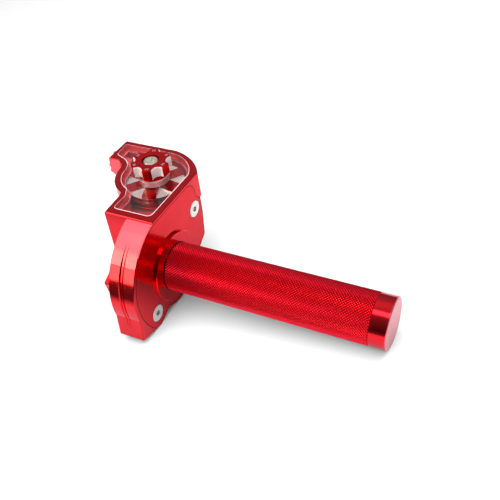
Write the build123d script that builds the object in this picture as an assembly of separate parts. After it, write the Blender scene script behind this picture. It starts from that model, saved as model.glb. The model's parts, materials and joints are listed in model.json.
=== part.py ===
from build123d import *
import math
import os

# Quick-pull motorcycle throttle: a knurled twist grip with a cable cam, in a housing that clamps to a
# 22.2 mm handlebar. The cable leaves the top of the cam, turns a quarter turn round a ball-bearing
# pulley under a clear window, and leaves through an adjuster. Millimetres throughout.
# Origin: middle of the bar clamp, on the bar axis. +X along the bar to the grip's closed end,
# +Z up to the window, -Y towards the rider.

# ---------------------------------------------------------------- driving dimensions
# handlebar and tube
BAR_R = 11.1
TUBE_BORE_R = 11.25
TUBE_R = 12.5
GRIP_R = 14.0
RUN_FIT = 0.05

# stations along the bar axis
CLAMP_HALF = 7.35
FACE_X = 23.0
COVER_T = 3.0
DISC_WALL = 2.25
BOSS_H = 1.5
GRIP_START = 25.0
GRIP_END = 140.0
CAP_END = 149.0
PLUG_R = 11.6
PLUG_LENGTH = 11.0

# housing
BAND_R = 39.4
TOP_Z = 38.0
DECK_BOTTOM_Z = 22.0
WELL_FLOOR_Z = 24.5
FRONT_Y = -10.5
DISC_BACK_Y = 36.6
LEFT_X = -35.9
BACK_Y = 53.8
CORNER_R = 25.2
COVER_R = 36.8
COVER_GAP = 0.3
CAVITY_RIM = 3.2
BOSS_R = 20.4
COVER_SCREWS = ((29.0, 18.5), (-23.25, -16.1))
COVER_DOWELS = ((31.6, 4.2), (-33.3, -5.9))
SCREW_BOSS_R = 3.7
DOWEL_R = 1.25
M5_R = 2.5
M5_HEAD_R = 4.9

# clamp
SPLIT = (-0.9, -0.3)
CLAMP_SCREW_Y = 16.5
CLAMP_EAR_Y = 26.0
CLAMP_BOTTOM_Z = -10.5

# two grooves along the round front, a wide one and a narrow one
GROOVES = ((14.1, 2.2), (15.9, 1.5))       # station, and half-width at the cutter's full height
GROOVE_CUTTER_HEIGHT = 3.0
GROOVE_DEPTH = 1.1
GROOVE_TOP_ANGLE = 121.0
GROOVE_DEEPEST_ANGLE = 160.0
GROOVE_BEND_ANGLE = 191.0
GROOVE_BEND_DEPTH = 0.8
GROOVE_RUN_IN = 10.0
GROOVE_BOTTOM = (-39.2, -15.6)
EDGE_BREAK = 0.35

# window
WINDOW_T = 3.5
WINDOW_LEDGE = 1.4
GASKET_T = 0.6

# adjuster knob, hub and pulley, on one vertical axle post
WHEEL = (-0.5, 28.6)
POST_R = 4.0
NECK_R = 8.0
FLANGE_R = 17.0
FLANGE_Z = (31.9, 33.8)
PULLEY_Z = (26.5, 31.5)
PULLEY_R = 17.0
CABLE_Z = 29.0
CABLE_GROOVE_R = 1.1
PULLEY_CABLE_R = 15.5
ECCENTRICITY = 0.8
BEARING = (7.5, 12.0)
BALL_R = 1.15
BALL_COUNT = 14
KNOB_Z = (41.2, 47.5)
KNOB_R = 11.3
LOBES = 6
LOBE_ANGLE = 50.0
SCALLOP_R = 3.4
SCALLOP_CENTRE_R = 12.2

# cam
CAM_X = (12.8, 17.2)
CAM_CABLE_X = 15.0
CAM_CABLE_R = 29.0
CAM_R = 30.3
CAM_ANGLES = (15.0, 110.0)
CAM_SCREW_R = 15.0
CAM_SCREW_ANGLES = (0.0, 120.0, 240.0)

# cable adjuster, in the round-bottomed boss at the deck's far left
ADJUSTER_Z = CABLE_Z
ADJUSTER_Y = WHEEL[1] - ECCENTRICITY + PULLEY_CABLE_R
ADJUSTER_R = 3.95
ADJUSTER_END = LEFT_X - 3.8
LOCK_RING_R = 7.3
LOCK_RING_T = 2.6
LOCK_RING_TEETH = 10
SOCKET_R = 3.1
SOCKET_DEPTH = 6.0
BOSS_FRONT_Y = 34.5
BOSS_CENTRE_Z = 30.3
BOSS_END_X = -27.0

PULLEY = (WHEEL[0], WHEEL[1] - ECCENTRICITY)


# ---------------------------------------------------------------- helpers
def slab(plane, sketch, start, end):
    """Extrude a sketch drawn in a plane's own axes, from one station to another along its normal."""
    return extrude(plane.offset(start) * sketch, end - start)


def disc(plane, radius, start, end, at=(0, 0)):
    return slab(plane, Pos(*at) * Circle(radius), start, end)


def ring(plane, outer, inner, start, end, at=(0, 0)):
    return slab(plane, Pos(*at) * (Circle(outer) - Circle(inner)), start, end)


def turned(plane, profile, at=(0, 0)):
    """Turn a closed (radius, station) profile round the plane's normal."""
    section = Plane(plane.from_local_coords(Vector(*at, 0)), x_dir=plane.x_dir, z_dir=-plane.y_dir)
    axis = Axis(plane.from_local_coords(Vector(*at, 0)), plane.z_dir)
    return revolve(section * make_face(Polyline(*profile, close=True)), axis)


def polar(radius, degrees):
    return (radius * math.cos(math.radians(degrees)), radius * math.sin(math.radians(degrees)))


def hexagon(across_flats):
    return RegularPolygon(across_flats / 2, 6, major_radius=False)


def on_circle(radius, y, sign=-1):
    """The point of a circle about the origin with the given first coordinate."""
    return (y, sign * math.sqrt(radius ** 2 - y ** 2))


ACROSS = Plane.YZ      # local x is +Y, local y is +Z, normal is +X
LEVEL = Plane.XY


# ---------------------------------------------------------------- outlines
def disc_outline():
    """The housing's outline across the bar: a round front, a flat top and back, and a front foot."""
    crown = (FRONT_Y, TOP_Z - EDGE_BREAK)
    front = (-BAND_R, 0)
    foot_top = on_circle(BAND_R, -38.6)
    foot = (-39.7, -21.8)
    heel = (-22.7, -25.5)
    belly_start = polar(25, 240)
    belly_end = polar(25, -30)
    lines = [
        ThreePointArc(crown, front, foot_top),
        Polyline(foot_top, foot, heel, belly_start),
        ThreePointArc(belly_start, (0, -25), belly_end),
    ]
    back = FilletPolyline(
        belly_end, (27.5, -8.2), (34.6, -4.0), (DISC_BACK_Y, 12), (DISC_BACK_Y, TOP_Z - EDGE_BREAK), crown,
        radius=(5, 4, 40, 0),
    )
    return make_face(lines + back.edges())


def cover_outline():
    """The side cover's outline, set in from the housing's and stepping out round the upper screw."""
    crown = (-9.6, 36.4)
    low_front = (-28.2, -23.2)
    belly_start = polar(23.2, 236)
    belly_end = polar(23.2, -28)
    front = ThreePointArc(crown, (-COVER_R, 3), low_front)
    low = FilletPolyline(low_front, (-25.6, -24.9), (-20.8, -23.2), belly_start, radius=(1.6, 3))
    belly = ThreePointArc(belly_start, (0, -23.2), belly_end)
    back = FilletPolyline(
        belly_end, (27.2, -6.6), (33.6, -2.9), (35.7, 11), (35.7, 21.6), (31.8, 25.2), (31.8, 36.4), crown,
        radius=(5, 3, 40, 1.5, 1.8, 8),
    )
    return make_face(front.edges() + low.edges() + belly.edges() + back.edges())


def deck_outline():
    """The top deck's outline: clamp side, round bulge about the wheel, cable block, rounded back."""
    wheel = Vector(*WHEEL)
    bulge = 22.3
    bulge_start = wheel + Vector(*polar(bulge, 247))
    bulge_mid = wheel + Vector(*polar(bulge, 216))
    bulge_end = wheel + Vector(*polar(bulge, 186))
    corner_start = (WHEEL[0], BACK_Y)
    corner_end = wheel + Vector(FACE_X - WHEEL[0], math.sqrt(CORNER_R ** 2 - (FACE_X - WHEEL[0]) ** 2))
    corner_mid = wheel + Vector(*polar(CORNER_R - 1.2, 47))
    front = FilletPolyline(
        corner_end, (FACE_X, FRONT_Y), (-CLAMP_HALF, FRONT_Y), (-8.0, 4.4), bulge_start, radius=(0, 0, 5)
    )
    lines = [
        ThreePointArc(bulge_start, bulge_mid, bulge_end),
        ThreePointArc(bulge_end, (-24.6, 31.2), (-28.4, BOSS_FRONT_Y)),
        Polyline((-28.4, BOSS_FRONT_Y), (LEFT_X, BOSS_FRONT_Y), (LEFT_X, BACK_Y), corner_start),
        ThreePointArc(corner_start, corner_mid, corner_end),
    ]
    return make_face(front.edges() + lines)


def window_outline():
    """The window's outline: a rim of about 3.5 mm all round, thinner at the cable block."""
    wheel = Vector(*WHEEL)
    inner = 18.9
    start = wheel + Vector(*polar(inner, 247))
    mid = wheel + Vector(*polar(inner, 218))
    end = wheel + Vector(*polar(inner, 190))
    back = 51.0
    side = 19.3
    front = -6.2
    corner = 20.6
    corner_end = wheel + Vector(side - WHEEL[0], math.sqrt(corner ** 2 - (side - WHEEL[0]) ** 2))
    corner_start = (WHEEL[0] - 1.5, back)
    corner_mid = wheel + Vector(*polar(corner + 0.4, 58))
    near = FilletPolyline(
        corner_end, (side, front), (-5.3, front), (-4.9, 5.6), start, radius=(3, 2.6, 6)
    )
    lines = [
        ThreePointArc(start, mid, end),
        ThreePointArc(end, (-22.0, 33.2), (-26.8, 36.6)),
    ]
    far = FilletPolyline(
        (-26.8, 36.6), (-33.4, 39.2), (-34.2, back), corner_start, radius=(2.5, 1.2)
    )
    corner_arc = ThreePointArc(corner_start, corner_mid, corner_end)
    return make_face(near.edges() + lines + far.edges() + [corner_arc])


def cable_boss_outline():
    """The left end of the deck across the cable: a flat top, straight sides and a round bottom."""
    middle_y = (BOSS_FRONT_Y + BACK_Y) / 2
    bottom = (middle_y, BOSS_CENTRE_Z - (BACK_Y - BOSS_FRONT_Y) / 2)
    left, right = (BOSS_FRONT_Y, BOSS_CENTRE_Z), (BACK_Y, BOSS_CENTRE_Z)
    top = Polyline(right, (BACK_Y, TOP_Z + 1), (BOSS_FRONT_Y, TOP_Z + 1), left)
    return make_face(top.edges() + [ThreePointArc(left, bottom, right)])


def clamp_top_outline():
    """The fixed half of the bar clamp, up to the deck."""
    return make_face(Polyline(
        (FRONT_Y, TOP_Z - 1), (FRONT_Y, 13.5), (-17.6, 4.6), (-21.2, 1.9), (-CLAMP_EAR_Y, SPLIT[1]),
        (CLAMP_EAR_Y, SPLIT[1]), (CLAMP_EAR_Y, 4), (21, 12), (20, DECK_BOTTOM_Z + 1), (20, TOP_Z - 1),
        close=True,
    ))


def clamp_cap_outline():
    """The loose half of the bar clamp, with two flat ears."""
    half = [(CLAMP_EAR_Y, SPLIT[0]), (24.4, CLAMP_BOTTOM_Z), (13.4, CLAMP_BOTTOM_Z)]
    mirrored = [(-y, z) for y, z in reversed(half)]
    sides = Polyline(*mirrored, *half)
    under = ThreePointArc(half[-1], (0, -17), mirrored[0])
    return make_face(sides.edges() + [under])


COVER_SHAPE = cover_outline()
WINDOW_SHAPE = window_outline()


# ---------------------------------------------------------------- housing and covers
def band_groove(x, half_width):
    """A V groove down the round front and the foot, deepest in the middle, running out at both ends."""
    top = polar(BAND_R, GROOVE_TOP_ANGLE)
    bend = polar(BAND_R - GROOVE_BEND_DEPTH, GROOVE_BEND_ANGLE)
    floor = ThreePointArc(top, polar(BAND_R - GROOVE_DEPTH, GROOVE_DEEPEST_ANGLE), bend)
    centre = floor.arc_center
    low, high = floor.radius, floor.radius + GROOVE_CUTTER_HEIGHT
    round_profile = make_face(Polyline((x, low), (x - half_width, high), (x + half_width, high), close=True))
    start = GROOVE_TOP_ANGLE - GROOVE_RUN_IN
    end = math.degrees(math.atan2(bend[1] - centre.Y, bend[0] - centre.X)) % 360
    round_cut = Pos(0, centre.X, centre.Y) * Rot(start, 0, 0) * revolve(round_profile, Axis.X, end - start)
    run_out = Vector(0, GROOVE_BOTTOM[0] - bend[0], GROOVE_BOTTOM[1] - bend[1])
    across = Plane(origin=(x, *bend), x_dir=(1, 0, 0), z_dir=run_out)
    height = GROOVE_CUTTER_HEIGHT
    profile = make_face(Polyline((0, 0), (-half_width, height), (half_width, height), close=True))
    return round_cut + extrude(across * profile, run_out.length)


def housing_body():
    round_part = slab(ACROSS, disc_outline(), CLAMP_HALF, FACE_X)
    round_part = chamfer(round_part.edges().group_by(Axis.X)[-1], EDGE_BREAK)
    deck = slab(LEVEL, deck_outline(), DECK_BOTTOM_Z, TOP_Z)
    deck = chamfer(deck.edges().group_by(Axis.Z)[-1], EDGE_BREAK)
    left_end = Pos(LEFT_X, BACK_Y, 0) * Box(2 * (BOSS_END_X - LEFT_X), 60, 2 * BOSS_CENTRE_Z)
    deck -= left_end - slab(ACROSS, cable_boss_outline(), LEFT_X, BOSS_END_X)
    body = round_part + deck + slab(ACROSS, clamp_top_outline(), -CLAMP_HALF, CLAMP_HALF)
    for x, half_width in GROOVES:
        body -= band_groove(x, half_width)

    # bar bore, and a wider hole through the disc's wall
    body -= disc(ACROSS, BAR_R, -CLAMP_HALF - 1, CLAMP_HALF)
    body -= disc(ACROSS, BAR_R + 0.5, CLAMP_HALF, FACE_X)

    # cover seat and cam chamber, with bosses left standing for the cover's screws and dowels
    seat = offset(COVER_SHAPE, COVER_GAP)
    chamber = offset(COVER_SHAPE, -CAVITY_RIM)
    for y, z in COVER_SCREWS:
        chamber -= Pos(y, z) * Circle(SCREW_BOSS_R)
    for y, z in COVER_DOWELS:
        chamber -= Pos(y, z) * Circle(DOWEL_R + 1.6)
    floor_x = CLAMP_HALF + DISC_WALL
    body -= slab(ACROSS, seat, FACE_X - COVER_T, FACE_X + 1)
    body -= slab(ACROSS, chamber, floor_x, FACE_X - COVER_T)

    # pulley well under the window, with a ledge that carries the window
    well = offset(WINDOW_SHAPE, -WINDOW_LEDGE)
    body -= slab(LEVEL, WINDOW_SHAPE, TOP_Z - WINDOW_T, TOP_Z + 1)
    body -= slab(LEVEL, well, WELL_FLOOR_Z, TOP_Z)
    body -= disc(LEVEL, PULLEY_R + 1.6, WELL_FLOOR_Z, FLANGE_Z[0], WHEEL)

    # cable exit, axle post, screws and dowels
    body -= disc(ACROSS, ADJUSTER_R + RUN_FIT, LEFT_X - 1, LEFT_X + 12, (ADJUSTER_Y, ADJUSTER_Z))
    body -= disc(LEVEL, 3.0, DECK_BOTTOM_Z - 1, WELL_FLOOR_Z + 1, WHEEL)
    for spot in COVER_SCREWS:
        body -= disc(ACROSS, M5_R, floor_x + 1, FACE_X, spot)
    for spot in COVER_DOWELS:
        body -= disc(ACROSS, DOWEL_R, floor_x + 3, FACE_X, spot)
    for side in (-1, 1):
        body -= disc(LEVEL, M5_R, SPLIT[0], 4.0, (0, side * CLAMP_SCREW_Y))
    return body


def side_cover():
    plate = slab(ACROSS, COVER_SHAPE, FACE_X - COVER_T, FACE_X)
    plate += disc(ACROSS, BOSS_R, FACE_X, FACE_X + BOSS_H)
    plate = chamfer(plate.edges().group_by(Axis.X)[-1], 0.4)
    plate -= disc(ACROSS, TUBE_R + 1.7, 0, CAP_END)
    for spot in COVER_SCREWS:
        plate -= turned(ACROSS, screw_profile(0.25, FACE_X - COVER_T - 1, FACE_X + 1), spot)
    for spot in COVER_DOWELS:
        plate -= disc(ACROSS, DOWEL_R, 0, FACE_X - 1.5, spot)
    return plate


def screw_profile(clearance, start, end):
    """Countersunk M5 outline: radius against station along the bar, head flush with the cover."""
    shank = M5_R + clearance
    head = M5_HEAD_R + clearance
    cone_end = FACE_X - 0.5
    cone_start = cone_end - (M5_HEAD_R - M5_R)
    return [(0, start), (shank, start), (shank, cone_start), (head, cone_end), (head, end), (0, end)]


def cover_screws():
    group = []
    for spot in COVER_SCREWS:
        screw = turned(ACROSS, screw_profile(0, FACE_X - COVER_T - 8, FACE_X - 0.1), spot)
        socket = slab(ACROSS, Pos(*spot) * hexagon(3.0), FACE_X - 2.4, FACE_X)
        group.append(screw - socket)
    return Compound(group)


def cover_dowels():
    return Compound([
        disc(ACROSS, DOWEL_R, FACE_X - COVER_T - 6, FACE_X - 1.6, spot) for spot in COVER_DOWELS
    ])


# ---------------------------------------------------------------- bar clamp
def clamp_cap():
    cap = slab(ACROSS, clamp_cap_outline(), -CLAMP_HALF, CLAMP_HALF)
    cap -= disc(ACROSS, BAR_R, -CLAMP_HALF - 1, CLAMP_HALF + 1)
    for side in (-1, 1):
        spot = (0, side * CLAMP_SCREW_Y)
        cap -= disc(LEVEL, M5_R + 0.25, CLAMP_BOTTOM_Z - 1, 0, spot)
        cap -= disc(LEVEL, 4.5, CLAMP_BOTTOM_Z - 4, CLAMP_BOTTOM_Z + 4.5, spot)
    return cap


def clamp_screws():
    group = []
    seat = CLAMP_BOTTOM_Z + 4.5
    for side in (-1, 1):
        spot = (0, side * CLAMP_SCREW_Y)
        screw = disc(LEVEL, 4.25, seat - 5, seat, spot) + disc(LEVEL, M5_R, seat, 3.8, spot)
        screw -= slab(LEVEL, Pos(*spot) * hexagon(4.0), seat - 6, seat - 2.4)
        group.append(screw)
    return Compound(group)


# ---------------------------------------------------------------- window
def window_plate():
    plate = slab(LEVEL, offset(WINDOW_SHAPE, -0.1), TOP_Z - WINDOW_T, TOP_Z)
    plate -= disc(LEVEL, NECK_R + 0.9, 0, TOP_Z + 1, WHEEL)
    return plate


def window_gasket():
    band = offset(WINDOW_SHAPE, -WINDOW_LEDGE - 0.1) - offset(WINDOW_SHAPE, -WINDOW_LEDGE - 0.9)
    return slab(LEVEL, band, TOP_Z - WINDOW_T - GASKET_T, TOP_Z - WINDOW_T)


def neck_bush():
    bottom = TOP_Z - WINDOW_T
    return ring(LEVEL, NECK_R + 0.88, NECK_R + RUN_FIT, bottom, TOP_Z + 0.2, WHEEL)


# ---------------------------------------------------------------- knob and eccentric hub
def gap_angles():
    """The directions between the knob's lobes."""
    return [LOBE_ANGLE + 360 / LOBES * (index + 0.5) for index in range(LOBES)]


def scalloped(radius, cut_centre, cut_radius):
    """A round blank with one scallop cut between each pair of lobes."""
    blank = Circle(radius)
    for angle in gap_angles():
        blank -= Pos(*polar(cut_centre, angle)) * Circle(cut_radius)
    return blank


def star_knob():
    bottom, top = KNOB_Z
    knob = slab(LEVEL, Pos(*WHEEL) * scalloped(KNOB_R, SCALLOP_CENTRE_R, SCALLOP_R), bottom, top)
    knob = chamfer(knob.edges().group_by(Axis.Z)[-1], 0.3)
    knob -= slab(LEVEL, Pos(*WHEEL) * hexagon(10.1), bottom - 1, bottom + 2.6)
    knob -= disc(LEVEL, M5_R + 0.3, bottom, top + 1, WHEEL)
    knob -= disc(LEVEL, 5.0, top - 3.0, top + 1, WHEEL)
    return knob


def knob_screw():
    seat = KNOB_Z[1] - 3.0
    screw = disc(LEVEL, M5_R, 30, seat, WHEEL) + disc(LEVEL, 4.3, seat, seat + 2.6, WHEEL)
    screw = chamfer(screw.edges().group_by(Axis.Z)[-1], 0.5)
    return screw - slab(LEVEL, Pos(*WHEEL) * hexagon(4.0), seat + 0.8, seat + 3)


def eccentric_hub():
    flange_low, flange_high = FLANGE_Z
    hub = disc(LEVEL, FLANGE_R, flange_low, flange_high, WHEEL)
    for angle in gap_angles():
        pocket = make_face(Polyline((8.4, 0), (FLANGE_R + 1, -5.6), (FLANGE_R + 1, 5.6), close=True))
        hub -= slab(LEVEL, Pos(*WHEEL) * Rot(0, 0, angle) * pocket, flange_high - 0.9, flange_high + 1)
    hub += disc(LEVEL, NECK_R, flange_high, KNOB_Z[0], WHEEL)
    hub += slab(LEVEL, Pos(*WHEEL) * hexagon(10.0), KNOB_Z[0], KNOB_Z[0] + 2.5)
    hub += disc(LEVEL, BEARING[0] + 1.0, PULLEY_Z[1], flange_low, PULLEY)
    hub += disc(LEVEL, BEARING[0], PULLEY_Z[0] - 1.2, PULLEY_Z[1], PULLEY)
    hub -= ring(LEVEL, BEARING[0] + 1, BEARING[0] - 0.5, PULLEY_Z[0] - 0.7, PULLEY_Z[0], PULLEY)
    hub -= disc(LEVEL, POST_R + RUN_FIT, 0, TOP_Z, WHEEL)
    hub -= disc(LEVEL, M5_R + 0.3, 0, TOP_Z + 6, WHEEL)
    return hub


def retaining_ring():
    """The open ring in the stub's groove that keeps the bearing on."""
    low = PULLEY_Z[0] - 0.7
    clip = Circle(BEARING[0] + 0.9) - Circle(BEARING[0] - 0.45)
    clip -= Pos(0, -BEARING[0]) * Rectangle(3, 4)
    return slab(LEVEL, Pos(*PULLEY) * clip, low + 0.05, low + 0.65)


def axle_post():
    post = disc(LEVEL, POST_R, WELL_FLOOR_Z, TOP_Z - 0.4, WHEEL)
    post += disc(LEVEL, 3.0, DECK_BOTTOM_Z - 5.5, WELL_FLOOR_Z, WHEEL)
    return post - disc(LEVEL, M5_R, 30, TOP_Z, WHEEL)


def post_nut():
    nut = slab(LEVEL, Pos(*WHEEL) * hexagon(10.0), DECK_BOTTOM_Z - 5, DECK_BOTTOM_Z)
    return nut - disc(LEVEL, 3.0, 0, DECK_BOTTOM_Z + 1, WHEEL)


# ---------------------------------------------------------------- deflection pulley and its bearing
def pulley_race_middle():
    return (BEARING[0] + BEARING[1]) / 2


def deflection_pulley():
    low, high = PULLEY_Z
    wheel = ring(LEVEL, PULLEY_R, BEARING[1], low, high, PULLEY)
    groove = Torus(PULLEY_CABLE_R + 0.6, CABLE_GROOVE_R + 0.6)
    return wheel - Pos(*PULLEY, CABLE_Z) * groove


def race(outer, inner):
    low, high = PULLEY_Z
    track = Torus(pulley_race_middle(), BALL_R + 0.05)
    return ring(LEVEL, outer, inner, low, high, PULLEY) - Pos(*PULLEY, (low + high) / 2) * track


def bearing_inner_race():
    return race(pulley_race_middle() - 0.7, BEARING[0])


def bearing_outer_race():
    return race(BEARING[1], pulley_race_middle() + 0.7)


def bearing_balls():
    middle = (PULLEY_Z[0] + PULLEY_Z[1]) / 2
    balls = []
    for index in range(BALL_COUNT):
        x, y = polar(pulley_race_middle(), 360 / BALL_COUNT * index)
        balls.append(Pos(PULLEY[0] + x, PULLEY[1] + y, middle) * Sphere(BALL_R))
    return Compound(balls)


def bearing_cage():
    """The flat ring with a pocket for each ball."""
    middle = (PULLEY_Z[0] + PULLEY_Z[1]) / 2
    cage = ring(
        LEVEL, pulley_race_middle() + 0.5, pulley_race_middle() - 0.5, middle - 0.7, middle + 1.6, PULLEY
    )
    for index in range(BALL_COUNT):
        x, y = polar(pulley_race_middle(), 360 / BALL_COUNT * index)
        cage -= Pos(PULLEY[0] + x, PULLEY[1] + y, middle) * Sphere(BALL_R + 0.06)
    return cage


# ---------------------------------------------------------------- twist grip
def throttle_tube():
    start = CLAMP_HALF + DISC_WALL + 0.8
    tube = disc(ACROSS, TUBE_R, start, GRIP_END)
    tube += disc(ACROSS, 18.5, start, CAM_X[0])
    tube -= disc(ACROSS, TUBE_BORE_R, 0, CAP_END)
    tube -= disc(ACROSS, PLUG_R, GRIP_END - PLUG_LENGTH - 1, CAP_END)
    for angle in CAM_SCREW_ANGLES:
        tube -= disc(ACROSS, 1.5, 0, CAM_X[0], polar(CAM_SCREW_R, angle))
    return tube


def cable_cam():
    """The cable sector, on a ring that is screwed to the tube's flange."""
    start, end = CAM_X
    low, high = CAM_ANGLES
    tip_low = polar(CAM_R, low)
    tip_high = polar(CAM_R, high)
    rim_middle = polar(CAM_R, (low + high) / 2)
    sector = make_face([
        Line((0, 0), tip_low), ThreePointArc(tip_low, rim_middle, tip_high), Line(tip_high, (0, 0))
    ])
    sector -= Circle(TUBE_R + 3)
    blank = sector + Circle(18.5)
    for angle in (38, 62.5, 87):
        blank -= Pos(*polar(22.6, angle)) * Circle(2.9)
    cam = slab(ACROSS, blank, start, end)
    cam -= disc(ACROSS, TUBE_R + 0.02, 0, CAP_END)
    cam -= Pos(CAM_CABLE_X, 0, 0) * Rot(0, 90, 0) * Torus(CAM_CABLE_R + 0.5, CABLE_GROOVE_R + 0.2)
    for angle in CAM_SCREW_ANGLES:
        spot = polar(CAM_SCREW_R, angle)
        cam -= disc(ACROSS, 1.6, 0, CAP_END, spot)
        cam -= disc(ACROSS, 2.2, end - 2.0, CAP_END, spot)
    anchor = polar(CAM_CABLE_R - 3.4, high - 7)
    cam -= disc(ACROSS, 2.0, start + 1.2, CAP_END, anchor)
    return cam


def cam_screws():
    end = CAM_X[1]
    group = []
    for angle in CAM_SCREW_ANGLES:
        spot = polar(CAM_SCREW_R, angle)
        screw = disc(ACROSS, 1.5, CAM_X[0] - 2.2, end - 2.0, spot)
        screw += disc(ACROSS, 2.1, end - 2.0, end - 0.2, spot)
        group.append(screw - slab(ACROSS, Pos(*spot) * hexagon(2.0), end - 1.3, end))
    return Compound(group)


def tube_bush():
    inner = TUBE_R + RUN_FIT
    bush = ring(ACROSS, TUBE_R + 1.7, inner, FACE_X - COVER_T, FACE_X + BOSS_H)
    return bush + ring(ACROSS, 17.0, inner, CAM_X[1] + 0.4, FACE_X - COVER_T)


def thrust_washer():
    start = CLAMP_HALF + DISC_WALL
    return ring(ACROSS, 18.0, BAR_R + 0.5, start, start + 0.6)


def grip_sleeve():
    sleeve = ring(ACROSS, GRIP_R, TUBE_R, GRIP_START, GRIP_END)
    return chamfer(sleeve.edges().filter_by(GeomType.CIRCLE).group_by(SortBy.RADIUS)[-1], 0.4)


def end_cap():
    """The closed end, with a plug that presses into the tube and a groove for its O-ring."""
    cap = disc(ACROSS, GRIP_R, GRIP_END, CAP_END)
    cap = fillet(cap.edges().group_by(Axis.X)[-1], 1.0)
    plug = disc(ACROSS, PLUG_R, GRIP_END - PLUG_LENGTH, GRIP_END)
    middle = GRIP_END - PLUG_LENGTH / 2
    return cap + plug - ring(ACROSS, GRIP_R, PLUG_R - 1.3, middle - 1, middle + 1)


def end_cap_o_ring():
    return Pos(GRIP_END - PLUG_LENGTH / 2, 0, 0) * Rot(0, 90, 0) * Torus(PLUG_R - 0.65, 0.6)


# ---------------------------------------------------------------- cable adjuster
def cable_adjuster():
    """The hollow screw that the cable's outer seats in, with a hexagon at its outer end."""
    at = (ADJUSTER_Y, ADJUSTER_Z)
    barrel = disc(ACROSS, ADJUSTER_R, ADJUSTER_END, LEFT_X + 10, at)
    barrel += slab(ACROSS, Pos(*at) * hexagon(8.6), ADJUSTER_END, LEFT_X - LOCK_RING_T - 0.1)
    barrel -= disc(ACROSS, SOCKET_R, ADJUSTER_END - 1, ADJUSTER_END + SOCKET_DEPTH, at)
    return barrel - disc(ACROSS, 1.2, ADJUSTER_END, LEFT_X + 11, at)


def adjuster_lock_ring():
    """The castellated ring that locks the adjuster against the housing."""
    blank = Circle(LOCK_RING_R) - Circle(ADJUSTER_R + RUN_FIT)
    for index in range(LOCK_RING_TEETH):
        blank -= Pos(*polar(LOCK_RING_R + 0.4, 360 / LOCK_RING_TEETH * index)) * Circle(1.5)
    return slab(ACROSS, Pos(ADJUSTER_Y, ADJUSTER_Z) * blank, LEFT_X - LOCK_RING_T, LEFT_X)


# ---------------------------------------------------------------- write the files
PARTS = [
    housing_body, side_cover, cover_screws, cover_dowels, clamp_cap, clamp_screws,
    window_plate, window_gasket, neck_bush, star_knob, knob_screw, eccentric_hub, retaining_ring,
    axle_post, post_nut, deflection_pulley, bearing_inner_race, bearing_outer_race, bearing_balls,
    bearing_cage, throttle_tube, cable_cam, cam_screws, tube_bush, thrust_washer, grip_sleeve,
    end_cap, end_cap_o_ring, cable_adjuster, adjuster_lock_ring,
]

os.makedirs("parts", exist_ok=True)
for make in PARTS:
    export_step(make(), f"parts/{make.__name__}.step")
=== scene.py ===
import json
import math

import bmesh
import bpy
from mathutils import Matrix, Vector


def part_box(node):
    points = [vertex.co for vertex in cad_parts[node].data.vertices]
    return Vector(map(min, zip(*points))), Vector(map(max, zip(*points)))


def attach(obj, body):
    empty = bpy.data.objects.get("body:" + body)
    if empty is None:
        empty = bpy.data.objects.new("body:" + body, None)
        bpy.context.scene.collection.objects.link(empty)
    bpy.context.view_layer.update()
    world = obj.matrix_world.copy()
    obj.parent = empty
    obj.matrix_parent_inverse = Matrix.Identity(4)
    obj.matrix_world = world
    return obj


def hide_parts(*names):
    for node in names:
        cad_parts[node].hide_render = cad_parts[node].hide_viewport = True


MM = 0.001

# the view, as the camera's own axes and its place
CAMERA_RIGHT = Vector((0.89583, 0.43395, -0.09577))
CAMERA_DOWN = Vector((0.22071, -0.62152, -0.75167))
CAMERA_FORWARD = Vector((-0.38571, 0.65223, -0.65255))
CAMERA_PLACE = Vector((206.0, -225.0, 251.0)) * MM
CAMERA_LENS = 48.9
CAMERA_SENSOR = 36.0

# knurl: depth of its grooves, half the distance between points, and how far it runs on past the sleeve
KNURL_DEPTH = 0.42 * MM
KNURL_HALF_PITCH = 0.8 * MM
KNURL_RUN_ON = 0.4 * MM

# star knob: its lobes, the direction of the first gap between them in degrees, and the scallop in each gap
LOBES = 6
FIRST_GAP = 80.0
SCALLOP_R = 3.4 * MM
SCALLOP_CENTRE = 12.2 * MM
POCKET_DEPTH = 1.0 * MM
POCKET_REACH = 16.9 * MM
NUMBER_SIZE = 2.2 * MM
NUMBER_RADIUS = 9.3 * MM
NUMBER_HEIGHT = 0.02 * MM

WELL_DEPTH = 11 * MM
WINDOW_BEVEL = 0.45 * MM

# light and floor; the two distances are from the bar towards the rider
FLOOR_LIGHT = 2.0
FLOOR_HALF_SIZE = 3.0
FLOOR_GAP = 0.05 * MM
# where the painted shade on the mirrored floor begins and where it is full
MIRRORED_NEAR = 0.075
MIRRORED_FAR = 0.105

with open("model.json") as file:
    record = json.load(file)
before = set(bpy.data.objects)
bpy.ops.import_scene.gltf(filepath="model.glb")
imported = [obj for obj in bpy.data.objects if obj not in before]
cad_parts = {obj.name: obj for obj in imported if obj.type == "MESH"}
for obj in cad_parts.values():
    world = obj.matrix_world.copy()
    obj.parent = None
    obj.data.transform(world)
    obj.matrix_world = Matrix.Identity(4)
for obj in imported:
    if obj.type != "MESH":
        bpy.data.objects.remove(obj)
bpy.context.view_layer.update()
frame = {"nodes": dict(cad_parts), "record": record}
cad = frame["nodes"]
scene = bpy.context.scene
scene.view_settings.view_transform = "Standard"
scene.view_settings.look = "Medium High Contrast"
scene.cycles.caustics_reflective = False


# ---------------------------------------------------------------- camera
def place_camera():
    """Stand the camera where the part is seen from above, over the closed end of the grip."""
    data = bpy.data.cameras.new("camera")
    data.lens = CAMERA_LENS
    data.sensor_width = CAMERA_SENSOR
    data.clip_start = 0.01
    data.clip_end = 20.0
    camera = bpy.data.objects.new("camera", data)
    scene.collection.objects.link(camera)
    turn = Matrix((CAMERA_RIGHT, -CAMERA_DOWN, -CAMERA_FORWARD)).transposed().to_4x4()
    camera.matrix_world = Matrix.Translation(CAMERA_PLACE) @ turn
    scene.camera = camera


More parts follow.
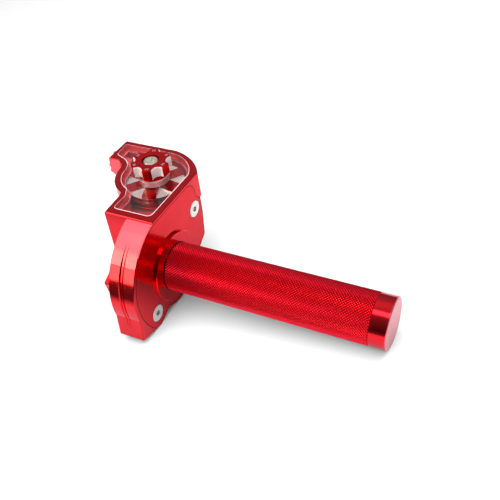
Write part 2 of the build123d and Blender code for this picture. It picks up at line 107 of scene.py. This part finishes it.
# ---------------------------------------------------------------- material helpers
class Graph:
    """A material's node tree, with short ways to add and join its nodes."""

    def __init__(self, name):
        self.material = bpy.data.materials.new(name)
        self.material.use_nodes = True
        self.tree = self.material.node_tree
        self.shader = self.tree.nodes["Principled BSDF"]
        self.place = self.node("ShaderNodeTexCoord").outputs["Object"]

    def feed(self, socket, value):
        if isinstance(value, bpy.types.NodeSocket):
            self.tree.links.new(value, socket)
        elif value is not None:
            socket.default_value = value

    def node(self, kind, inputs=None, **settings):
        made = self.tree.nodes.new(kind)
        for key, value in settings.items():
            setattr(made, key, value)
        for key, value in (inputs or {}).items():
            self.feed(made.inputs[key], value)
        return made

    def math(self, operation, a, b=None):
        return self.node("ShaderNodeMath", {0: a, 1: b}, operation=operation).outputs[0]

    def remap(self, value, low, high, to_low=0.0, to_high=1.0):
        inputs = {"Value": value, "From Min": low, "From Max": high, "To Min": to_low, "To Max": to_high}
        return self.node("ShaderNodeMapRange", inputs).outputs["Result"]

    def noise(self, scale, detail=2.0, stretch=(1, 1, 1)):
        place = self.node("ShaderNodeMapping", {"Vector": self.place, "Scale": stretch}).outputs["Vector"]
        inputs = {"Vector": place, "Scale": scale, "Detail": detail}
        return self.node("ShaderNodeTexNoise", inputs).outputs["Fac"]

    def rings(self, axis, pitch):
        """Fine tool marks round an axis through the frame's origin, one every pitch metres."""
        scale = 2 * math.pi / (20 * pitch)
        inputs = {"Vector": self.place, "Scale": scale, "Distortion": 0.15, "Detail": 1.0}
        kind = {"wave_type": "RINGS", "rings_direction": axis}
        return self.node("ShaderNodeTexWave", inputs, **kind).outputs["Fac"]

    def blend(self, share, first, second):
        inputs = {"Factor": share, 6: first, 7: second}
        return self.node("ShaderNodeMix", inputs, data_type="RGBA").outputs[2]

    def blend_value(self, share, first, second):
        return self.node("ShaderNodeMix", {"Factor": share, 2: first, 3: second}).outputs[0]

    def axis(self, letter):
        return self.node("ShaderNodeSeparateXYZ", {0: self.place}).outputs["XYZ".index(letter)]

    def bump(self, height, depth, normal=None):
        """Relief of the given depth in metres."""
        inputs = {"Strength": 1.0, "Distance": depth, "Height": height, "Normal": normal}
        return self.node("ShaderNodeBump", inputs).outputs["Normal"]

    def set(self, **sockets):
        for key, value in sockets.items():
            self.feed(self.shader.inputs[key.replace("_", " ")], value)


def colour(r, g, b):
    return (r, g, b, 1.0)


# ---------------------------------------------------------------- materials
RED = colour(0.82, 0.012, 0.028)
RED_DEEP = colour(0.76, 0.008, 0.022)
BARE = colour(0.90, 0.88, 0.86)


def red_anodised(name, rough=0.14, tool_marks=None, coat=0.45):
    """Dyed anodised aluminium: metal under a clear oxide film, with a faint blasted grain."""
    g = Graph(name)
    cloud = g.noise(90, 3)
    grain = g.noise(5200, 2)
    normal = g.bump(g.rings("X", tool_marks), 0.6e-6) if tool_marks else None
    g.set(
        Base_Color=g.blend(g.remap(cloud, 0.35, 0.65), RED, RED_DEEP), Metallic=1.0,
        Roughness=g.remap(g.noise(700, 4), 0.3, 0.7, rough - 0.03, rough + 0.03),
        Normal=g.bump(grain, 0.9e-6, normal),
        Coat_Weight=coat, Coat_Roughness=0.12, Coat_IOR=1.5,
    )
    return g


def red_housing():
    """The housing: satin outside, and rougher where the pulley well is milled out; there its colour is also
    painted paler and less metallic, a painted brightening of the dim well.
    """
    g = red_anodised("red_anodised")
    low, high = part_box("window_plate")
    hub_low, hub_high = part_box("star_knob")
    centre = (hub_low + hub_high) / 2
    geometry = g.node("ShaderNodeNewGeometry").outputs
    outwards = g.node("ShaderNodeVectorMath", {0: g.place, 1: centre}, operation="SUBTRACT").outputs[0]
    flat = g.node("ShaderNodeVectorMath", {0: outwards, 1: (1, 1, 0)}, operation="MULTIPLY").outputs[0]
    facing = g.node("ShaderNodeVectorMath", {0: flat, 1: geometry["True Normal"]}, operation="DOT_PRODUCT")
    inwards = g.math("LESS_THAN", facing.outputs["Value"], -1e-4)
    upwards = g.node("ShaderNodeSeparateXYZ", {0: geometry["True Normal"]}).outputs[2]
    inside = g.math("MAXIMUM", inwards, g.math("GREATER_THAN", upwards, 0.5))
    inside = g.math("MULTIPLY", inside, g.math("LESS_THAN", g.axis("Z"), high.z - 0.5 * MM))
    inside = g.math("MULTIPLY", inside, g.math("GREATER_THAN", g.axis("Z"), low.z - WELL_DEPTH))
    red = g.shader.inputs["Base Color"].links[0].from_socket
    rough = g.shader.inputs["Roughness"].links[0].from_socket
    # painted light: the well's walls and floor get a paler, partly diffuse pink that lightens them, on top
    # of their real rougher milled finish
    g.set(
        Base_Color=g.blend(inside, red, colour(0.86, 0.10, 0.13)),
        Roughness=g.blend_value(inside, rough, 0.5), Metallic=g.blend_value(inside, 1.0, 0.45),
    )
    return g


def red_knurl():
    """The knurl: painted shade in the valleys, and a painted highlight of pale pink on the points."""
    g = red_anodised("red_knurl", rough=0.36, coat=0.0)
    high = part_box("grip_sleeve")[1]
    y, z = g.axis("Y"), g.axis("Z")
    radius = g.math("SQRT", g.math("ADD", g.math("MULTIPLY", y, y), g.math("MULTIPLY", z, z)))
    height = g.remap(radius, high.z - KNURL_DEPTH, high.z)
    # painted shade darkens the valleys and a painted highlight turns the points pale pink, both set by
    # height above the valley floor
    shade = g.blend(g.remap(height, 0.0, 0.45), colour(0.66, 0.002, 0.014), colour(0.92, 0.014, 0.045))
    shade = g.blend(g.remap(height, 0.62, 0.95), shade, colour(1.0, 0.26, 0.32))
    g.set(Base_Color=shade)
    return g


def red_cap():
    """The end cap: polished round its side, with a paler turned face."""
    g = red_anodised("red_anodised_cap", rough=0.16)
    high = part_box("end_cap")[1]
    face = g.remap(g.axis("X"), high.x - 0.9 * MM, high.x - 0.1 * MM)
    marks = g.rings("X", 0.22 * MM)
    red = g.shader.inputs["Base Color"].links[0].from_socket
    rough = g.shader.inputs["Roughness"].links[0].from_socket
    normal = g.shader.inputs["Normal"].links[0].from_socket
    g.set(
        Base_Color=g.blend(face, red, colour(0.86, 0.30, 0.33)),
        Roughness=g.blend_value(face, rough, 0.42),
        Normal=g.bump(g.math("MULTIPLY", marks, face), 1.2e-6, normal),
    )
    return g


def red_knob():
    """Star and hub: red outside, bare metal where the scallops and pockets are cut after dyeing."""
    g = red_anodised("red_anodised_knob", rough=0.34, coat=0.2)
    low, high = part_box("star_knob")
    centre = (low + high) / 2
    from_axis = g.node("ShaderNodeVectorMath", {0: g.place, 1: centre}, operation="SUBTRACT").outputs[0]
    x, y, z = (g.node("ShaderNodeSeparateXYZ", {0: from_axis}).outputs[i] for i in range(3))
    radius = g.math("SQRT", g.math("ADD", g.math("MULTIPLY", x, x), g.math("MULTIPLY", y, y)))
    sector = math.tau / LOBES
    first = math.radians(FIRST_GAP) - sector / 2 - 2 * math.tau
    turned = g.math("SUBTRACT", g.math("ARCTAN2", y, x), first)
    folded = g.math("SUBTRACT", g.math("MODULO", turned, sector), sector / 2)
    along = g.math("SUBTRACT", g.math("MULTIPLY", radius, g.math("COSINE", folded)), SCALLOP_CENTRE)
    across = g.math("MULTIPLY", radius, g.math("SINE", folded))
    squares = g.math("ADD", g.math("MULTIPLY", along, along), g.math("MULTIPLY", across, across))
    reach = g.math("SQRT", squares)
    in_scallop = g.math("LESS_THAN", reach, SCALLOP_R + 0.12 * MM)
    above = g.math("GREATER_THAN", z, low.z - centre.z - 0.05 * MM)
    flange_top = hub_flange_top() - centre.z
    pocket = g.math("LESS_THAN", z, flange_top - 0.06 * MM)
    pocket = g.math("MULTIPLY", pocket, g.math("GREATER_THAN", z, flange_top - POCKET_DEPTH))
    pocket = g.math("MULTIPLY", pocket, g.math("LESS_THAN", radius, POCKET_REACH))
    bare = g.math("MAXIMUM", g.math("MULTIPLY", in_scallop, above), pocket)
    red = g.shader.inputs["Base Color"].links[0].from_socket
    rough = g.shader.inputs["Roughness"].links[0].from_socket
    g.set(
        Base_Color=g.blend(bare, red, BARE),
        Roughness=g.blend_value(bare, rough, 0.36), Metallic=g.blend_value(bare, 1.0, 0.6),
    )
    return g


def steel(name, tint, rough, marks=None):
    """Bare or plated steel, with a fine ground grain."""
    g = Graph(name)
    light = colour(*(min(1.0, part * 1.06) for part in tint))
    height = g.rings("X", marks) if marks else g.noise(2600, 3, (1, 1, 6))
    g.set(
        Base_Color=g.blend(g.noise(400, 3), colour(*tint), light), Metallic=1.0,
        Roughness=g.remap(g.noise(900, 4), 0.3, 0.7, rough - 0.05, rough + 0.06),
        Normal=g.bump(height, 1.2e-6),
    )
    return g


def moulded(name, tint, rough, depth=3e-6, **sockets):
    """Polymer or rubber with a moulded grain."""
    g = Graph(name)
    dark = colour(*(part * 0.86 for part in tint))
    g.set(
        Base_Color=g.blend(g.noise(250, 3), dark, colour(*tint)),
        Roughness=g.remap(g.noise(1200, 3), 0.3, 0.7, rough - 0.05, rough + 0.05),
        Normal=g.bump(g.noise(3000, 3), depth), **sockets,
    )
    return g


def turned_aluminium():
    """The throttle tube's bare metal, with fine turning lines."""
    g = Graph("bare_aluminium")
    g.set(
        Base_Color=g.blend(g.noise(300, 2), colour(0.84, 0.84, 0.85), colour(0.90, 0.90, 0.90)),
        Metallic=1.0, Roughness=g.remap(g.noise(800, 3), 0.3, 0.7, 0.25, 0.36),
        Normal=g.bump(g.noise(900, 1, (4, 0.1, 0.1)), 3e-6),
    )
    return g


def black_anodised():
    """The cam's dyed metal: nearly black, with a soft sheen."""
    g = Graph("black_anodised")
    g.set(
        Base_Color=g.blend(g.noise(300, 3), colour(0.035, 0.035, 0.04), colour(0.06, 0.06, 0.065)),
        Metallic=1.0, Roughness=g.remap(g.noise(900, 3), 0.3, 0.7, 0.28, 0.38),
        Normal=g.bump(g.noise(4200, 2), 1.5e-6), Coat_Weight=0.6, Coat_Roughness=0.2,
    )
    return g


def clear_window():
    """Clear acrylic: mostly see-through, with a polished surface and a few hairline scratches."""
    g = Graph("clear_window")
    scratch = g.remap(g.noise(60, 8, (1, 26, 1)), 0.62, 0.66)
    normal = g.bump(scratch, 0.5e-6)
    through = g.node("ShaderNodeBsdfTransparent", {"Color": colour(0.97, 0.93, 0.93)})
    gloss = g.node("ShaderNodeBsdfGlossy", {"Color": colour(1, 1, 1), "Roughness": 0.03, "Normal": normal})
    inside = g.node("ShaderNodeNewGeometry").outputs["Backfacing"]
    fresnel = g.node("ShaderNodeFresnel", {"IOR": g.blend_value(inside, 1.49, 1 / 1.49), "Normal": normal})
    mix = g.node("ShaderNodeMixShader", {0: fresnel.outputs[0], 1: through.outputs[0], 2: gloss.outputs[0]})
    g.tree.links.new(mix.outputs[0], g.tree.nodes["Material Output"].inputs["Surface"])
    return g


def window_edge():
    """The cut edge of the acrylic, painted pale pink: a painted highlight for the bright line along the
    polished bevel.
    """
    g = Graph("window_edge")
    g.set(
        Base_Color=g.blend(g.noise(500, 3), colour(1.0, 0.62, 0.64), colour(1.0, 0.74, 0.75)),
        Roughness=g.remap(g.noise(1500, 3), 0.3, 0.7, 0.25, 0.4), Alpha=0.75,
        Normal=g.bump(g.noise(2500, 2), 2e-6),
    )
    return g


def hub_flange_top():
    """The height of the hub's flange, which is the widest part of its mesh."""
    low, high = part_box("eccentric_hub")
    centre = (low + high) / 2
    points = [v.co for v in cad["eccentric_hub"].data.vertices]
    rim = max((p - centre).xy.length for p in points)
    return max(p.z for p in points if (p - centre).xy.length > rim - 0.05 * MM)


def make_materials():
    made = {
        "red_anodised": red_housing(),
        "red_anodised_cover": red_anodised(
            "red_anodised_cover", rough=0.15, tool_marks=0.3 * MM, coat=0.25
        ),
        "red_anodised_knob": red_knob(),
        "red_anodised_cap": red_cap(),
        "red_knurl": red_knurl(),
        "screw_steel": steel("screw_steel", (0.90, 0.86, 0.81), 0.38),
        "ground_steel": steel("ground_steel", (0.72, 0.72, 0.74), 0.2),
        "spring_steel": steel("spring_steel", (0.20, 0.20, 0.22), 0.35),
        "cage_polymer": moulded("cage_polymer", (0.75, 0.70, 0.58), 0.5),
        "clear_window": clear_window(),
        "seal_rubber": moulded("seal_rubber", (0.02, 0.02, 0.02), 0.6, 6e-6),
        "gasket_silicone": moulded("gasket_silicone", (0.80, 0.25, 0.27), 0.35),
        "neck_polymer": moulded("neck_polymer", (0.80, 0.42, 0.42), 0.2),
        # the bush is made near black so the narrow gap between boss and grip reads dark: painted shade in
        # that gap
        "bush_polymer": moulded("bush_polymer", (0.015, 0.015, 0.016), 0.45),
        "bare_aluminium": turned_aluminium(),
        "black_anodised": black_anodised(),
    }
    return {name: graph.material for name, graph in made.items()}


# ---------------------------------------------------------------- pieces
def add_piece(name, mesh, body, slot, replaced=()):
    piece = bpy.data.objects.new(name, mesh)
    scene.collection.objects.link(piece)
    mesh.materials.clear()
    mesh.materials.append(materials[slot])
    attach(piece, body)
    if replaced:
        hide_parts(*replaced)
    return piece


def knurled_grip():
    """The grip sleeve with a real diamond knurl, as two crossing sets of V grooves would cut it."""
    low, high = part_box("grip_sleeve")
    start = low.x - KNURL_RUN_ON
    outer = high.z
    inner = min(math.hypot(v.co.y, v.co.z) for v in cad["grip_sleeve"].data.vertices)
    half_pitch = KNURL_HALF_PITCH
    around = 2 * round(math.pi * outer / half_pitch)
    along = 2 * round((high.x - start) / half_pitch / 2)
    points, faces = [], []
    for j in range(along + 1):
        x = start + (high.x - start) * j / along
        for i in range(around):
            peak = (i + j) % 2 == 0 and 0 < j < along
            radius = outer if peak else outer - KNURL_DEPTH
            turn = math.tau * i / around
            points.append((x, radius * math.cos(turn), radius * math.sin(turn)))
    for j in range(along):
        for i in range(around):
            a, b = j * around + i, j * around + (i + 1) % around
            c, d = b + around, a + around
            if (i + j) % 2 == 0:
                faces += [(a, b, d), (b, c, d)]
            else:
                faces += [(a, b, c), (a, c, d)]
    bore = len(points)
    for x in (start, high.x):
        for i in range(around):
            turn = math.tau * i / around
            points.append((x, inner * math.cos(turn), inner * math.sin(turn)))
    last = along * around
    for i in range(around):
        n = (i + 1) % around
        faces.append((i, bore + i, bore + n, n))
        faces.append((last + i, last + n, bore + around + n, bore + around + i))
        faces.append((bore + i, bore + around + i, bore + around + n, bore + n))
    mesh = bpy.data.meshes.new("grip_knurl")
    mesh.from_pydata(points, [], faces)
    mesh.validate()
    tidy = bmesh.new()
    tidy.from_mesh(mesh)
    bmesh.ops.recalc_face_normals(tidy, faces=tidy.faces)
    tidy.to_mesh(mesh)
    tidy.free()
    add_piece("grip_knurl", mesh, "twist_grip", "red_knurl", ["grip_sleeve"])


def polished_window():
    """The window plate with its upper edges cut to a small polished bevel."""
    mesh = cad["window_plate"].data.copy()
    mesh.name = "window_bevelled"
    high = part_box("window_plate")[1]
    work = bmesh.new()
    work.from_mesh(mesh)
    bmesh.ops.remove_doubles(work, verts=work.verts, dist=1e-6)
    bmesh.ops.dissolve_limit(work, angle_limit=math.radians(0.5), verts=work.verts, edges=work.edges)
    top = high.z - 1e-5
    edges = [e for e in work.edges if all(v.co.z > top for v in e.verts) and not e.is_boundary
             and e.calc_face_angle(0) > 1]
    bmesh.ops.bevel(work, geom=edges, offset=WINDOW_BEVEL, segments=2, profile=0.5, affect="EDGES")
    work.normal_update()
    for face in work.faces:
        face.smooth = False
    work.to_mesh(mesh)
    work.free()
    add_piece("window_bevelled", mesh, "housing", "clear_window", ["window_plate"])
    # the bevel faces get window_edge, whose pale pink is a painted highlight along the window's outline
    mesh.materials.append(window_edge().material)
    for face in mesh.polygons:
        face.material_index = 1 if 0.1 < face.normal.z < 0.95 else 0


def dial_numbers():
    """A two-figure number standing a hair above the top of each lobe."""
    low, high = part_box("star_knob")
    centre = (low + high) / 2
    for index in range(LOBES):
        text = bpy.data.curves.new(f"dial_{index}", "FONT")
        text.body = str(10 * (index + 1))
        text.size = NUMBER_SIZE
        text.extrude = NUMBER_HEIGHT
        text.offset = 0.03 * MM
        text.align_x = "CENTER"
        text.align_y = "CENTER"
        letters = bpy.data.objects.new(text.name, text)
        scene.collection.objects.link(letters)
        bpy.context.view_layer.update()
        mesh = bpy.data.meshes.new_from_object(letters)
        mesh.name = f"dial_number_{index}"
        bpy.data.objects.remove(letters)
        direction = math.radians(FIRST_GAP - 30) + math.tau * index / LOBES
        spot = Vector((math.cos(direction), math.sin(direction), 0)) * NUMBER_RADIUS
        spot += Vector((centre.x, centre.y, high.z + NUMBER_HEIGHT))
        mesh.transform(Matrix.Translation(spot) @ Matrix.Rotation(direction - math.pi / 2, 4, "Z"))
        add_piece(mesh.name, mesh, "knob", "screw_steel")


# ---------------------------------------------------------------- floor and light
def lowest(node):
    low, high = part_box(node)
    return Vector((high.x, 0, low.z))


def make_floor():
    """A white floor under the foot and the end cap. Mirror rays see it darker, and darker still far off:
    painted shade in the metal's reflections, for the floor's light falling off.
    """
    foot, tip = lowest("housing_body"), lowest("end_cap")
    slope = math.atan2(tip.z - foot.z, tip.x - foot.x)
    size = FLOOR_HALF_SIZE
    mesh = bpy.data.meshes.new("floor")
    corners = [(-size, -size, 0), (size, -size, 0), (size, size, 0), (-size, size, 0)]
    mesh.from_pydata(corners, [], [(0, 1, 2, 3)])
    floor = bpy.data.objects.new("floor", mesh)
    scene.collection.objects.link(floor)
    under = foot - Vector((0, 0, FLOOR_GAP))
    floor.matrix_world = Matrix.Translation(under) @ Matrix.Rotation(-slope, 4, "Y")
    g = Graph("floor_paper")
    # painted shade for mirror rays: grey near the part, nearly black beyond MIRRORED_FAR
    far = g.math("MULTIPLY", g.axis("Y"), -1.0)
    away = g.remap(far, MIRRORED_NEAR, MIRRORED_FAR)
    mirrored = g.blend(away, colour(0.62, 0.62, 0.64), colour(0.05, 0.05, 0.05))
    glossy = g.node("ShaderNodeLightPath").outputs["Is Glossy Ray"]
    g.set(
        Base_Color=g.blend(glossy, colour(0.86, 0.86, 0.86), mirrored),
        Roughness=0.9, Normal=g.bump(g.noise(900, 3), 5e-6),
    )
    mesh.materials.append(g.material)


def softbox(name, place, target, width, height, radiance, tint=(1, 1, 1)):
    """A rectangular light that shines the given radiance towards a target."""
    data = bpy.data.lights.new(name, "AREA")
    data.shape = "RECTANGLE"
    data.size = width
    data.size_y = height
    data.color = tint
    data.energy = radiance * math.pi * width * height
    light = bpy.data.objects.new(name, data)
    scene.collection.objects.link(light)
    light.location = place
    light.rotation_euler = (Vector(target) - Vector(place)).to_track_quat("-Z", "Y").to_euler()
    light.visible_camera = False
    return light


def make_lights():
    """Light for the floor from above, and what the metal mirrors: a softbox, a strip and a dim room."""
    above = softbox("overhead", (0.05, 0.05, 0.95), (0.05, 0, 0), 1.4, 1.4, FLOOR_LIGHT)
    above.visible_glossy = False
    front = softbox(
        "front_left", (-0.72, -0.78, 0.38), (0.0, -0.02, 0.02), 0.66, 0.84, 3.7, tint=(1.08, 1.25, 0.80)
    )
    side = softbox("left_fill", (-0.75, -0.30, 1.30), (0, 0, 0), 0.9, 0.6, 0.6)
    strip = softbox("strip", (0.10, -0.25, 0.95), (0.08, 0, 0), 1.4, 0.30, 2.0)
    fill = softbox("floor_fill", (0.15, -0.85, 0.55), (0.05, 0, 0), 1.4, 1.0, 2.6)
    fill.visible_glossy = False
    for light in (front, side, strip):
        light.visible_diffuse = False
    world = bpy.data.worlds.new("studio")
    scene.world = world
    world.use_nodes = True
    tree = world.node_tree
    direction = tree.nodes.new("ShaderNodeTexCoord")
    split = tree.nodes.new("ShaderNodeSeparateXYZ")
    ramp = tree.nodes.new("ShaderNodeValToRGB")
    stops = ramp.color_ramp.elements
    stops[0].position, stops[0].color = 0.0, (0.12, 0.12, 0.12, 1)
    stops[1].position, stops[1].color = 0.88, (0.60, 0.60, 0.60, 1)
    middle = stops.new(0.65)
    middle.color = (0.36, 0.36, 0.36, 1)
    front_side = tree.nodes.new("ShaderNodeMapRange")
    for key, value in {"From Min": -0.25, "From Max": 0.35, "To Min": 0.5, "To Max": 1.1}.items():
        front_side.inputs[key].default_value = value
    tree.links.new(direction.outputs["Generated"], split.inputs[0])
    tree.links.new(split.outputs["Z"], ramp.inputs["Fac"])
    tree.links.new(split.outputs["Y"], front_side.inputs["Value"])
    tree.links.new(ramp.outputs["Color"], tree.nodes["Background"].inputs["Color"])
    tree.links.new(front_side.outputs["Result"], tree.nodes["Background"].inputs["Strength"])


# ---------------------------------------------------------------- build
place_camera()
materials = make_materials()
for entry in frame["record"]["subparts"]:
    node = cad[entry["node"]]
    node.data.materials.clear()
    node.data.materials.append(materials[entry["material_slot"]])
knurled_grip()
polished_window()
dial_numbers()
make_floor()
make_lights()
